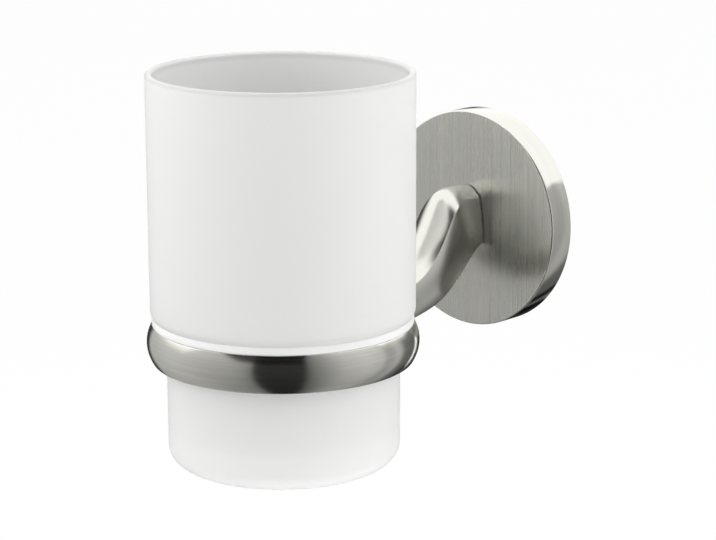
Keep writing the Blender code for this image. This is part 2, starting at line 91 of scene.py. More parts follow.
def length(name, description, default):
    return bpy.props.FloatProperty(
        name=name, description=description, default=default, min=0, precision=4,
        unit="LENGTH", subtype="DISTANCE",
    )


def amount(name, description, default, top=1.0):
    return bpy.props.FloatProperty(
        name=name, description=description, default=default, min=0, max=top, subtype="FACTOR"
    )


def colour(name, description, default):
    return bpy.props.FloatVectorProperty(
        name=name, description=description, default=default, size=3, min=0, max=1, subtype="COLOR"
    )


def half_width(node):
    low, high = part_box(node)
    return (high[0] - low[0]) / 2


def middle_of(node, axis):
    low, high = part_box(node)
    return (low[axis] + high[axis]) / 2


def low_of(node, axis):
    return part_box(node)[0][axis]


def high_of(node, axis):
    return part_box(node)[1][axis]


class TumblerSizes(bpy.types.PropertyGroup):
    radius: length("Radius", "Outer radius of the wide upper part", half_width("tumbler"))
    foot_radius: length("Foot radius", "Outer radius of the narrow foot", 0.0300)
    wall: length("Wall", "Thickness of the upper wall", 0.0018)
    foot_wall: length("Foot wall", "Thickness of the foot's wall", 0.0025)
    floor: length("Floor", "Thickness of the bottom", 0.0080)
    upper_height: length("Upper height", "Height of the wide part above the shoulder", 0.0637)
    shoulder_round: length("Shoulder rounding", "Rounding between wall and shoulder", 0.0030)
    bottom_round: length("Bottom rounding", "Rounding at the bottom edge", 0.0050)
    floor_round: length("Floor rounding", "Rounding inside at the floor", 0.0040)
    rim_round: length("Rim rounding", "Fire-polished rounding of the rim", 0.0009)


class SeatRingSizes(bpy.types.PropertyGroup):
    inner_radius: length("Inner radius", "Radius of the hole for the foot", 0.03035)
    wall: length("Wall", "Thickness of the sleeve", 0.0010)
    lip: length("Lip", "Thickness of the flange at its rim", 0.0009)
    gap: length("Gap", "Gap to the metal ring and to the glass", 0.00003)
    cup_radius: length("Cup radius", "Radius up to which the flange hugs the shoulder", 0.0334)
    flange_width: length("Flange width", "How far the flange stands out past the sleeve", 0.0023)
    depth: length("Depth", "How far the sleeve reaches into the metal ring", 0.0090)
    edge: length("Edge", "Rounding of the moulded edges", 0.0003)


class HolderRingSizes(bpy.types.PropertyGroup):
    wall: length("Wall", "Thickness of the band", 0.00335)
    height: length("Height", "Height of the band", 0.0098)
    crown: length("Crown", "How far the outer face bulges", 0.0015)
    edge: length("Edge", "Rounding of the polished edges", 0.00028)


class ArmSizes(bpy.types.PropertyGroup):
    width: length("Width", "Width of the arm from side to side", 0.0120)
    base_height: length("Base height", "Height of the arm where it leaves the rosette", 0.0156)
    base_rise: length("Base rise", "How far the middle of that end is above the rosette's middle", 0.0017)
    crown: length("Crown", "Height of the arched top above its edges", 0.0028)
    bulge: length("Bulge", "How far the sides bulge", 0.0008)
    belly: length("Belly", "Depth of the arched underside below its corners", 0.0012)
    edge_round: length("Edge rounding", "Rounding of the upper edges", 0.0004)
    corner_round: length("Corner rounding", "Rounding of the lower corners", 0.0010)
    end_margin: length("End margin", "How far the arm's end stays inside the ring's height", 0.0004)
    saddle_gap: length("Saddle gap", "Gap between the arm's saddle and the ring", 0.0003)


class RosetteSizes(bpy.types.PropertyGroup):
    radius: length("Radius", "Outer radius of the cover", half_width("rosette"))
    depth: length("Depth", "How far the cover stands off the wall", 0.0080)
    front_wall: length("Front wall", "Thickness of the front", 0.0020)
    side_wall: length("Side wall", "Thickness of the side", 0.0020)
    edge: length("Edge", "Rounding of the front edge", 0.0005)
    collar_radius: length("Collar radius", "Outer radius of the collar over the bracket", 0.0246)
    collar_wall: length("Collar wall", "Thickness of the collar", 0.0018)
    wall_clearance: length("Wall clearance", "Gap between the collar and the wall", 0.0010)
    boss_width: length("Boss width", "Width of the grub screw's boss", 0.0080)


class BracketSizes(bpy.types.PropertyGroup):
    radius: length("Radius", "Outer radius of the pressed pan", half_width("wall_bracket"))
    sheet: length("Sheet", "Thickness of the steel", 0.0015)
    depth: length("Depth", "Height of the pan's rim off the wall", 0.0048)
    bend: length("Bend", "Rounding of the pressed corner", 0.0005)
    slot_distance: length("Slot distance", "From the middle to each slot", 0.0140)
    slot_width: length("Slot width", "Width of a slot", 0.0045)
    slot_length: length("Slot length", "Length of a slot", 0.0075)


class ScrewSizes(bpy.types.PropertyGroup):
    radius: length("M4 radius", "Radius of the M4 screws", 0.0020)
    pitch: length("M4 pitch", "Distance between thread ridges of the M4 screws", 0.0007)
    thread_depth: length("Thread depth", "Depth of the thread grooves", 0.0003)
    gap: length("Hole gap", "Gap round a screw in its hole", 0.0002)
    pan_radius: length("Pan head radius", "Radius of the arm screws' heads", 0.0036)
    pan_height: length("Pan head height", "Height of the arm screws' heads", 0.0024)
    flat_radius: length("Flat head radius", "Radius of the ring screw's countersunk head", 0.0036)
    flat_height: length("Flat head height", "Height of the ring screw's countersunk head", 0.0018)
    socket_radius: length("Socket radius", "Corner radius of the hexagon socket", 0.0014)
    socket_depth: length("Socket depth", "Depth of the hexagon socket", 0.0012)
    grub_radius: length("Grub screw radius", "Radius of the M3 grub screw", 0.0015)
    grub_pitch: length("Grub screw pitch", "Distance between thread ridges of the grub screw", 0.0005)
    grub_socket_radius: length("Grub socket radius", "Corner radius of its hexagon socket", 0.0009)
    grub_socket_depth: length("Grub socket depth", "Depth of its hexagon socket", 0.0015)
    washer_radius: length("Washer radius", "Outer radius of a lock washer", 0.0038)


class HolderFinish(bpy.types.PropertyGroup):
    glass: colour("Glass", "Frosted glass", (0.93, 0.93, 0.925))
    plastic: colour("Plastic", "Seat ring", (0.96, 0.96, 0.95))
    nickel: colour("Nickel", "Brushed nickel plating", (0.720, 0.716, 0.665))
    zinc: colour("Zinc", "Zinc plated sheet", (0.52, 0.52, 0.53))
    steel: colour("Steel", "Machined screws", (0.46, 0.46, 0.46))
    # painted shade: how much darker the rosette's face is painted than the rest of the nickel
    face_painted_shade: amount("Face tone", "How much darker the rosette's coarser brushed face is", 0.88)
    face_roughness: amount("Face roughness", "How soft the reflections in the rosette's face are", 0.28)
    ring_roughness: amount("Ring roughness", "How soft the reflections in the ring are", 0.17)
    arm_roughness: amount("Arm roughness", "How soft the reflections in the arm are", 0.22)
    rim_roughness: amount("Rim roughness", "How soft the reflections in the rosette's side are", 0.10)


class HolderStudio(bpy.types.PropertyGroup):
    fill: amount("Fill", "Even light from all round", 0.66, 4.0)
    top_light: amount("Top light", "Radiance of the soft box overhead", 0.3, 10.0)
    left_light: amount("Left light", "Radiance of the left soft box", 2.25, 10.0)
    right_light: amount("Right light", "Radiance of the right soft box", 2.0, 10.0)
    low_light: amount("Low light", "Radiance of the soft box below, as light off a white table", 2.0, 10.0)


# ---------------------------------------------------------------- shaping


def pick_none():
    bpy.ops.object.select_all(action="DESELECT")


def pick(item):
    pick_none()
    item.select_set(True)
    bpy.context.view_layer.objects.active = item


def edit(select="NONE"):
    bpy.ops.object.mode_set(mode="EDIT")
    if select != "NONE":
        bpy.ops.mesh.select_all(action=select)


def done():
    bpy.ops.object.mode_set(mode="OBJECT")


def at_origin(item):
    """Puts the object at the origin, unturned and unscaled, with its place in its mesh."""
    pick(item)
    bpy.ops.object.transform_apply(location=True, rotation=True, scale=True)


def rounded(corners, steps=CORNER_STEPS):
    """Outline through (radius, height, rounding) corners, each rounding drawn as its own arc."""
    points = []
    count = len(corners)
    for i, (x, z, rounding) in enumerate(corners):
        corner = Vector((x, z))
        if not rounding:
            points.append(corner)
            continue
        sides = []
        for neighbour in (corners[i - 1], corners[(i + 1) % count]):
            side = Vector(neighbour[:2]) - corner
            sides.append((side.normalized(), side.length / 2 if neighbour[2] else side.length))
        (before, room_before), (after, room_after) = sides
        half = before.angle(after) / 2
        back = min(rounding / math.tan(half), room_before, room_after)
        radius = back * math.tan(half)
        centre = corner + (before + after).normalized() * radius / math.sin(half)
        start = corner + before * back - centre
        sweep = start.angle_signed(corner + after * back - centre)
        for k in range(steps + 1):
            turn = -sweep * k / steps
            c, s = math.cos(turn), math.sin(turn)
            points.append(centre + Vector((c * start.x - s * start.y, s * start.x + c * start.y)))
    return points


def subdivided(points, longest):
    """The same outline with no side longer than the given length."""
    finer = [points[0]]
    for here, there in zip(points, points[1:]):
        parts = max(1, math.ceil((there - here).length / longest))
        finer += [here.lerp(there, k / parts) for k in range(1, parts + 1)]
    return finer


def added(name, operator, **settings):
    """Adds a primitive, lamp or camera with nothing else selected, and names it."""
    pick_none()
    operator(**settings)
    item = bpy.context.object
    item.name = name
    return item


def merge_all():
    """Merges doubled points and leaves everything selected."""
    bpy.ops.mesh.select_all(action="SELECT")
    bpy.ops.mesh.remove_doubles(threshold=MERGE)
    bpy.ops.mesh.select_all(action="SELECT")


def drawn(name, points):
    """A wire drawn through the points, extruded corner by corner; it stays in edit mode."""
    item = added(name, bpy.ops.mesh.primitive_plane_add, size=START_SIZE)
    item.data.name = name
    edit("SELECT")
    bpy.ops.mesh.merge(type="CENTER")
    bpy.ops.transform.translate(value=points[0])
    for here, there in zip(points, points[1:]):
        bpy.ops.mesh.extrude_vertices_move(TRANSFORM_OT_translate={"value": there - here})
    merge_all()
    return item


def close_up():
    """Merges doubled points and turns all faces outwards."""
    merge_all()
    bpy.ops.mesh.normals_make_consistent(inside=False)


def turned(name, outline, centre, axis=UP, steps=BIG_TURN, ring=False):
    """A piece turned round the axis from an outline of (radius, height along the axis) points."""
    across = Vector((1, 0, 0))
    points = [centre + across * r + axis * h for r, h in outline]
    if ring:
        points.append(points[0])
    item = drawn(name, points)
    bpy.ops.mesh.spin(steps=steps, angle=2 * math.pi, center=centre, axis=axis)
    close_up()
    done()
    return item


def rod(name, radius, start, end, sides=SMALL_TURN):
    """A straight rod between two points."""
    run = end - start
    item = added(
        name, bpy.ops.mesh.primitive_cylinder_add, vertices=sides, radius=radius, depth=run.length,
        location=(start + end) / 2, rotation=run.to_track_quat("Z", "Y").to_euler(),
    )
    at_origin(item)
    return item


def block(name, middle, size, tilt=0.0):
    """A box of the given size round a middle, tilted about the axis from side to side."""
    item = added(name, bpy.ops.mesh.primitive_cube_add, size=1, location=middle)
    item.scale = size
    item.rotation_euler = (tilt, 0, 0)
    at_origin(item)
    return item


def apply_boolean(item, tool, operation):
    pick(item)
    step = item.modifiers.new(tool.name, "BOOLEAN")
    step.operation = operation
    step.solver = "EXACT"
    step.object = tool
    bpy.ops.object.modifier_apply(modifier=step.name)
    pick(tool)
    bpy.ops.object.delete()
    pick(item)


def cut(item, tool):
    apply_boolean(item, tool, "DIFFERENCE")


def fuse(item, tool):
    apply_boolean(item, tool, "UNION")


def drill(item, radius, start, end):
    """Drills a hole between two points, with a gap round a screw of the given radius."""
    cut(item, rod("drill", radius + bpy.context.scene.screw_sizes.gap, start, end))


def smooth(item, angle=SMOOTH_ANGLE):
    pick(item)
    bpy.ops.object.shade_smooth_by_angle(angle=angle)


def hand_over(item, body, node, finish, second=None, where=None):
    """Gives a finished piece its material, ties it to its body and hides the node it stands for.

    The faces that where picks by their middle and normal get the second material.
    """
    at_origin(item)
    item.data.materials.clear()
    item.data.materials.append(finish)
    if second:
        item.data.materials.append(second)
        for face in item.data.polygons:
            face.material_index = int(where(face.center, face.normal))
    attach(item, body)
    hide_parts(node)
    pick_none()


# ---------------------------------------------------------------- finishes


class Number:
    """A number socket of a shader; sums written with it add Math nodes."""

    def __init__(self, finish, socket):
        self.finish = finish
        self.socket = socket

    def math(self, operation, *others, swap=False):
        values = [self, *others]
        if swap:
            values.reverse()
        return self.finish.node("ShaderNodeMath", {"operation": operation}, dict(enumerate(values)))

    def __add__(self, other):
        return self.math("ADD", other)

    __radd__ = __add__

    def __mul__(self, other):
        return self.math("MULTIPLY", other)

    __rmul__ = __mul__

    def __sub__(self, other):
        return self.math("SUBTRACT", other)

    def __rsub__(self, other):
        return self.math("SUBTRACT", other, swap=True)

    def __truediv__(self, other):
        return self.math("DIVIDE", other)

    def __pow__(self, other):
        return self.math("POWER", other)

    def limited(self):
        return self.math("MINIMUM", 1.0).math("MAXIMUM", 0.0)

    def spread(self, low, high, curve="LINEAR"):
        """0 below low, 1 above high and a rise between them."""
        return self.finish.node(
            "ShaderNodeMapRange",
            {"interpolation_type": curve, "clamp": True},
            {"Value": self, "From Min": low, "From Max": high},
        )

    def step(self, low, high):
        """0 below low, 1 above high and a smooth rise between them."""
        return self.spread(low, high, "SMOOTHSTEP")

    def past(self, place, edge):
        """A step at a place; edge says where it starts and ends, off that place."""
        return self.step(place + edge[0], place + edge[1])

    def ramp(self, stops):
        """A value read off straight lines between (input, output) stops."""
        low, high = stops[0][0], stops[-1][0]
        top = max(level for place, level in stops)
        shades = [((place - low) / (high - low), (level / top,) * 3 + (1.0,)) for place, level in stops]
        reach = self.spread(low, high)
        return self.finish.node("ShaderNodeValToRGB", {"stops": shades}, {"Fac": reach}) * top


class Finish:
    """A material, or the world, that is written down as expressions."""

    def __init__(self, name, kind="materials"):
        self.owner = getattr(bpy.data, kind).new(name)
        self.owner.use_nodes = True
        self.tree = self.owner.node_tree
        self.tree.nodes.clear()

    def node(self, kind, settings=None, sockets=None, output=0):
        """Any node: its settings first, then its sockets' values or links."""
        made = self.tree.nodes.new(kind)
        for key, value in (settings or {}).items():
            if key == "stops":
                self.set_stops(made.color_ramp, value)
            else:
                setattr(made, key, value)
        for key, value in (sockets or {}).items():
            if isinstance(value, Number):
                self.tree.links.new(value.socket, made.inputs[key])
            else:
                made.inputs[key].default_value = value
        return Number(self, made.outputs[output]) if made.outputs else None

    @staticmethod
    def set_stops(ramp, stops):
        while len(ramp.elements) < len(stops):
            ramp.elements.new(0.5)
        for element, (place, shade) in zip(ramp.elements, stops):
            element.position = place
            element.color = shade

    def place(self):
        """Object coordinates, which are the frame's own."""
        return self.node("ShaderNodeTexCoord", output="Object")

    def parts(self, vector):
        split = self.node("ShaderNodeSeparateXYZ", sockets={0: vector}).socket.node
        return [Number(self, out) for out in split.outputs]

    def vector(self, x, y, z):
        return self.node("ShaderNodeCombineXYZ", sockets={0: x, 1: y, 2: z})

    def noise(self, where, scale, detail=2.0, roughness=0.5):
        sockets = {"Vector": where, "Scale": scale, "Detail": detail, "Roughness": roughness}
        return self.node("ShaderNodeTexNoise", sockets=sockets)

    def mixed(self, share, first, second):
        """A colour between two colours."""
        first, second = (
            shade if isinstance(shade, Number) else (*shade, 1.0) for shade in (first, second)
        )
        return self.node("ShaderNodeMix", {"data_type": "RGBA"}, {0: share, 6: first, 7: second}, 2)

    def toned(self, share, shade, low, high):
        """A shade that goes from one tone of itself to another."""
        return self.mixed(share, tinted(shade, low), tinted(shade, high))

    def bump(self, height, strength, distance):
        sockets = {"Height": height, "Strength": strength, "Distance": distance}
        return self.node("ShaderNodeBump", sockets=sockets)

    def glow(self, strength):
        return self.node("ShaderNodeEmission", sockets={"Color": WHITE, "Strength": strength})

    def principled(self, rough, **sockets):
        """Ends with the usual shader; an underscore in a socket's name stands for a space."""
        named = {key.replace("_", " "): value for key, value in sockets.items()}
        named["Roughness"] = rough.limited()
        return self.ended(self.node("ShaderNodeBsdfPrincipled", sockets=named))

    def ended(self, shader, output="ShaderNodeOutputMaterial"):
        self.node(output, sockets={"Surface": shader})
        return self.owner


def tinted(shade, factor):
    return tuple(min(1.0, part * factor) for part in shade)


def brushed(finish, shade, roughness, where, wear_and_sheen=0.0, lines=0.05, bump=0.12, stretch=0.0, turn=0.0):
    """Brushed plating: hair lines in colour, roughness and relief, and worn edges that are smoother and
    painted paler as a highlight.

    where is a vector that runs slowly along the brush strokes and fast across them.
    """
    painted_sheen_share, painted_sheen_tone, relief = 0.35, 1.22, 0.00006
    strokes = finish.noise(where, 1.0, detail=3.0, roughness=0.65)
    coarse = finish.noise(where, 0.22)
    cloud = finish.noise(finish.place(), 60.0)
    mix = (strokes * 0.65 + coarse * 0.35).step(0.30, 0.70)
    base = finish.toned(mix, shade, 1 - lines, 1 + lines)
    # painted highlight: the worn edges' colour is painted paler
    base = finish.mixed(wear_and_sheen * painted_sheen_share, base, tinted(shade, painted_sheen_tone))
    return finish.principled(
        roughness + (mix - 0.5) * 0.07 + (cloud - 0.5) * 0.05 - wear_and_sheen * 0.06,
        Base_Color=base,
        Metallic=1.0,
        Normal=finish.bump(strokes, bump, relief),
        Anisotropic=stretch,
        Anisotropic_Rotation=turn,
    )


def around(finish, centre, axis, slow, fast):
    """A vector for lines that run round an axis: slow round it, fast along it and outwards.

    The radius and the height along the axis come with it.
    """
    outward_rate = 0.8
    x, y, z = finish.parts(finish.place())
    if axis == "Z":
        a, b, h = x - centre[0], y - centre[1], z - centre[2]
    else:
        a, b, h = x - centre[0], z - centre[2], y - centre[1]
    radius = (a * a + b * b) ** 0.5
    where = finish.vector(a / radius * slow, b / radius * slow, (h + radius * outward_rate) * fast)
    return where, radius, h


# ---------------------------------------------------------------- places


def tumbler_axis():
    return Vector((0, middle_of("tumbler", 1), 0))


def shoulder_z(sizes):
    return high_of("tumbler", 2) - sizes.upper_height


def ring_middle():
    return tumbler_axis() + UP * middle_of("holder_ring", 2)


# ---------------------------------------------------------------- pieces


class HOLDER_OT_tumbler(bpy.types.Operator):
    """Add the stepped frosted glass tumbler"""

    bl_idname = "holder.tumbler"
    bl_label = "Tumbler"
    bl_options = {"REGISTER", "UNDO"}

    corner_steps = 9
    longest_side = 0.006
    # soft edges of the masks: start and end of each, off the rim, shoulder, wall or floor
    rim_edge = (-0.0012, -0.0002)
    lip_edge = (-0.0024, -0.0012)
    shoulder_edge = (0.0006, 0.0012)
    wall_edge = (-0.0002, 0.0004)
    foot_wall_edge = (0.0002, 0.0008)
    floor_edge = (-0.002, -0.001)
    solid_edge = (0.0008, 0.0028)

    def execute(self, context):
        sizes = context.scene.tumbler_sizes
        top = sizes.upper_height
        bottom = low_of("tumbler", 2) - shoulder_z(sizes)
        floor = bottom + sizes.floor
        shoulder = min(sizes.shoulder_round, sizes.radius - sizes.foot_radius)
        inner = sizes.radius - sizes.wall
        foot_inner = sizes.foot_radius - sizes.foot_wall
        outline = rounded(
            [
                (0, floor, 0),
                (foot_inner, floor, sizes.floor_round),
                (foot_inner, sizes.wall, shoulder / 2),
                (inner, sizes.wall, shoulder / 2),
                (inner, top, sizes.rim_round),
                (sizes.radius, top, sizes.rim_round),
                (sizes.radius, 0, shoulder),
                (sizes.foot_radius, 0, 0),
                (sizes.foot_radius, bottom, sizes.bottom_round),
                (0, bottom, 0),
            ],
            self.corner_steps,
        )
        centre = tumbler_axis() + UP * shoulder_z(sizes)
        item = turned("frosted_tumbler", subdivided(outline, self.longest_side), centre)
        smooth(item)
        finish = self.frosted_glass(context.scene.holder_finish, sizes)
        hand_over(item, "glass", "tumbler", finish)
        return {"FINISHED"}

    def frosted_glass(self, shades, sizes):
        """Satin etched outside and smoother inside, with a polished rim; the inside, the band under the rim
        and the rim are painted darker as shade, and the solid base is painted brighter as light.
        """
        finish = Finish("frosted_glass")
        x, y, z = finish.parts(finish.place())
        side = y - tumbler_axis().y
        radius = (x * x + side * side) ** 0.5
        top = high_of("tumbler", 2)
        floor = low_of("tumbler", 2) + sizes.floor
        in_wall = 1 - radius.past(sizes.radius - sizes.wall, self.wall_edge)
        in_foot = 1 - radius.past(sizes.foot_radius - sizes.foot_wall, self.foot_wall_edge)
        above = z.past(shoulder_z(sizes), self.shoulder_edge) * in_wall
        below = z.past(floor, self.floor_edge) * in_foot
        inside = (above + below).limited()
        # painted light: thick is the solid glass of the base, which is painted brighter
        thick = (1 - inside) * (1 - z.past(floor, self.solid_edge))
        rim = z.past(top, self.rim_edge)
        lip = inside * z.past(top, self.lip_edge) * (1 - rim)
        grain = finish.noise(finish.place(), 2600.0, roughness=0.6)
        cloud = finish.noise(finish.place(), 34.0, detail=3.0, roughness=0.55)
        base = finish.toned((cloud - 0.5) * 0.5 + 0.5, shades.glass, 0.985, 1.01)
        # painted shade: the inside, the band under its rim (lip) and the rim, which is also smoother, are
        # painted darker; the thick base is painted brighter
        for mask, tone in ((thick, 1.03), (inside, 0.76), (lip * 0.7, 0.62), (rim, 0.78)):
            base = finish.mixed(mask, base, tinted(shades.glass, tone))
        return finish.principled(
            0.50 + (cloud - 0.5) * 0.08 + (grain - 0.5) * 0.05 - rim * 0.12 - inside * 0.10,
            Base_Color=base,
            IOR=1.47,
            Transmission_Weight=0.35,
            Normal=finish.bump(grain, 0.10, 0.00004),
        )


class HOLDER_OT_seat_ring(bpy.types.Operator):
    """Add the translucent plastic seat ring between glass and metal"""

    bl_idname = "holder.seat_ring"
    bl_label = "Seat ring"
    bl_options = {"REGISTER", "UNDO"}

    corner_steps = 4
    cup_steps = 8

    def execute(self, context):
        sizes = context.scene.seat_ring_sizes
        sleeve = sizes.inner_radius + sizes.wall
        rim = sleeve + sizes.flange_width
        base = high_of("holder_ring", 2) + sizes.gap
        glass = context.scene.tumbler_sizes
        bend = min(glass.shoulder_round, glass.radius - glass.foot_radius)
        middle = Vector((glass.radius - bend, shoulder_z(glass) + bend - base))
        bend += sizes.gap
        end = math.asin((sizes.cup_radius - middle.x) / bend)
        turns = [end * k / self.cup_steps for k in range(1, self.cup_steps + 1)]
        cup = [middle + Vector((math.sin(turn), -math.cos(turn))) * bend for turn in turns]
        outline = rounded(
            [
                (sizes.inner_radius, middle.y - bend, 0),
                *((point.x, point.y, 0) for point in cup),
                (rim, sizes.lip, sizes.edge),
                (rim, 0, sizes.edge / 2),
                (sleeve, 0, 0),
                (sleeve, -sizes.depth, sizes.edge),
                (sizes.inner_radius, -sizes.depth, sizes.edge),
            ],
            self.corner_steps,
        )
        item = turned("seat_ring_insert", outline, tumbler_axis() + UP * base, ring=True)
        smooth(item)
        finish = self.clear_plastic(context.scene.holder_finish)
        hand_over(item, "seat", "seat_ring", finish)
        return {"FINISHED"}

    def clear_plastic(self, shades):
        """Moulded, slightly milky plastic with a faint flow pattern."""
        finish = Finish("clear_plastic")
        where = around(finish, tumbler_axis(), "Z", 3.0, 900.0)[0]
        flow = finish.noise(where, 1.0, detail=3.0, roughness=0.6)
        grain = finish.noise(finish.place(), 1400.0)
        return finish.principled(
            0.34 + (flow - 0.5) * 0.10 + (grain - 0.5) * 0.06,
            Base_Color=finish.toned(flow, shades.plastic, 0.96, 1.05),
            IOR=1.49,
            Transmission_Weight=0.15,
            Normal=finish.bump(grain, 0.08, 0.00003),
        )


class HOLDER_OT_holder_ring(bpy.types.Operator):
    """Add the crowned metal ring, drilled and countersunk for its screw"""

    bl_idname = "holder.holder_ring"
    bl_label = "Holder ring"
    bl_options = {"REGISTER", "UNDO"}

    corner_steps = 5
    sink_gap = 0.0003
    # the polished band at the ring's edges, also painted paler as a highlight, starts and ends here
    polish_and_sheen = (-0.0007, -0.0001)

    def execute(self, context):
        sizes = context.scene.holder_ring_sizes
        screws = context.scene.screw_sizes
        outer = half_width("holder_ring")
        inner = outer - sizes.wall
        half = sizes.height / 2
        middle = ring_middle()
        face = crowned(sizes)
        corners = [(r, z, 0) for r, z in face]
        corners[0] = (*face[0], sizes.edge)
        corners[-1] = (*face[-1], sizes.edge)
        corners += [(inner, -half, sizes.edge), (inner, half, sizes.edge)]
        outline = rounded(corners, self.corner_steps)
        item = turned("crowned_ring", outline, middle, steps=FINE_TURN, ring=True)
        back = middle + WALL * (outer + OVERRUN)
        drill(item, screws.radius, back, middle + WALL * (inner - OVERRUN))
        sink = self.countersink(screws, self.sink_gap)
        cut(item, turned("ring_countersink", sink, ring_screw_head(), ROOM, SMALL_TURN))
        smooth(item)
        finish = self.ring_nickel(context.scene.holder_finish, sizes)
        hand_over(item, "holder", "holder_ring", finish)
        return {"FINISHED"}

    def countersink(self, screws, gap):
        """The cutter's outline: the flat head with a gap round it."""
        return [
            (0, OVERRUN),
            (screws.flat_radius + gap, OVERRUN),
            (screws.flat_radius + gap, -FLAT_RIM - gap),
            (screws.radius + gap, -screws.flat_height - gap),
            (0, -screws.flat_height - gap),
        ]

    def ring_nickel(self, shades, sizes):
        """Brushed round the band, with polished edges that are painted paler as a highlight."""
        finish = Finish("ring_nickel")
        where, radius, height = around(finish, ring_middle(), "Z", *HAIR_LINES)
        # painted highlight: edge marks the polished bands, which are painted paler
        edge = height.math("ABSOLUTE").past(sizes.height / 2, self.polish_and_sheen)
        return brushed(
            finish, shades.nickel, shades.ring_roughness, where, edge, stretch=0.6, turn=0.25
        )


def crowned(sizes, grow=0.0, steps=20):
    """The ring's bulged outer face from top to bottom as (radius, height) points."""
    outer = half_width("holder_ring")
    points = []
    for k in range(steps + 1):
        share = 1 - 2 * k / steps
        points.append((outer - sizes.crown * share * share + grow, share * sizes.height / 2))
    return points


def share_at(place, shares):
    """The share at a place, which eases from one of the table's entries to the next."""
    for (start, before), (end, after) in zip(shares, shares[1:]):
        if place <= end:
            ease = (1 - math.cos(math.pi * (place - start) / (end - start))) / 2
            return before + (after - before) * ease
    return shares[-1][1]


def arch(start, end, height, steps=16):
    """The points of a low arch over the straight line between two corners, on its right-hand side."""
    way = end - start
    outward = Vector((way.y, -way.x)).normalized()
    shares = [k / steps for k in range(1, steps)]
    return [start + way * share + outward * (4 * height * share * (1 - share)) for share in shares]


def ring_screw_head():
    """The middle of the ring screw's flat top."""
    return Vector((0, low_of("ring_screw", 1), middle_of("ring_screw", 2)))


def threaded(radius, depth, pitch, start, end):
    """A shank's outline with thread ridges from start to end, both measured from the head."""
    root = radius - depth
    ridge = ((radius, 0), (radius, 0.15), (root, 0.5), (root, 0.6))
    turns = int((end - start) / pitch)
    points = [(r, -(start + k * pitch) - pitch * share) for k in range(turns) for r, share in ridge]
    return [*points, (radius, -(start + turns * pitch))]


class HOLDER_OT_screws(bpy.types.Operator):
    """Add the ring screw, both arm screws and the grub screw"""

    bl_idname = "holder.screws"
    bl_label = "Screws"
    bl_options = {"REGISTER", "UNDO"}

    # plain lengths above the thread, by head, and below it
    plain_under_flat = 0.0004
    plain_above = 0.0002
    plain_tip = 0.0006
    grub_plain_tip = 0.0004
    pan_round = 0.0012
    pan_corner = 0.0001
    # the grub screw's thread depth and tip radius, as shares
    grub_share = 0.7

    def execute(self, context):
        sizes = context.scene.screw_sizes
        steel = self.machined_steel(context.scene.holder_finish)
        self.ring_screw(sizes, steel)
        for node in ARM_SCREWS:
            self.arm_screw(node, sizes, steel)
        self.grub_screw(sizes, steel)
        return {"FINISHED"}

    def screw(self, name, node, head, thread, tip, centre, outwards, socket, steel):
        """Turns a screw from its head's outline, thread and tip, and cuts its hexagon socket.

        The head's outline starts in the middle of its top. tip is the radius and the
        distance of the screw's end, and socket its corner radius and depth.
        """
        radius, long = tip
        outline = [*head, *threaded(*thread), (radius, -long), (0, -long)]
        item = turned(name, outline, centre, outwards, SMALL_TURN)
        top = centre + outwards * head[0][1]
        radius, depth = socket
        cut(item, rod("socket", radius, top + outwards * OVERRUN, top - outwards * depth, HEXAGON))
        smooth(item)
        hand_over(item, "holder", node, steel)

    def ring_screw(self, sizes, steel):
        long = high_of("ring_screw", 1) - low_of("ring_screw", 1)
        wide, depth = sizes.flat_radius, sizes.thread_depth
        head = [(0, 0), (wide - 0.0002, 0), (wide, -0.00015), (wide, -FLAT_RIM)]
        start = sizes.flat_height + self.plain_under_flat
        thread = (sizes.radius, depth, sizes.pitch, start, long - self.plain_tip)
        socket = (sizes.socket_radius, sizes.socket_depth)
        self.screw(
            "countersunk_ring_screw", "ring_screw", head, thread, (sizes.radius - depth, long),
            ring_screw_head(), ROOM, socket, steel,
        )

    def arm_screw(self, node, sizes, steel):
        under_head = high_of(node, 1) - sizes.pan_height
        long = under_head - low_of(node, 1)
        wide, tall, depth = sizes.pan_radius, sizes.pan_height, sizes.thread_depth
        head = rounded([(0, tall, 0), (wide, tall, self.pan_round), (wide, 0, self.pan_corner)])
        thread = (sizes.radius, depth, sizes.pitch, self.plain_above, long - self.plain_tip)
        socket = (sizes.socket_radius, sizes.socket_depth)
        self.screw(
            "pan_head_" + node, node, head, thread, (sizes.radius - depth, long),
            Vector((0, under_head, middle_of(node, 2))), WALL, socket, steel,
        )

    def grub_screw(self, sizes, steel):
        low = low_of("grub_screw", 2)
        long = high_of("grub_screw", 2) - low
        wide, depth = sizes.grub_radius, sizes.thread_depth * self.grub_share
        thread = (wide, depth, sizes.grub_pitch, self.plain_above, long - self.grub_plain_tip)
        socket = (sizes.grub_socket_radius, sizes.grub_socket_depth)
        self.screw(
            "socket_grub_screw", "grub_screw", [(0, 0), (wide - depth, 0)], thread,
            (wide * self.grub_share, long), Vector((0, middle_of("grub_screw", 1), low)), -UP,
            socket, steel,
        )

    def machined_steel(self, shades):
        """Zinc plated screws with faint turning marks."""
        finish = Finish("screw_steel")
        cloud = finish.noise(finish.place(), 420.0, detail=3.0, roughness=0.6)
        marks = finish.noise(finish.place(), 5200.0)
        return finish.principled(
            0.30 + (cloud - 0.5) * 0.16 + (marks - 0.5) * 0.06,
            Base_Color=finish.toned(cloud, shades.steel, 0.86, 1.12),
            Metallic=1.0,
            Normal=finish.bump(marks, 0.10, 0.00002),
        )


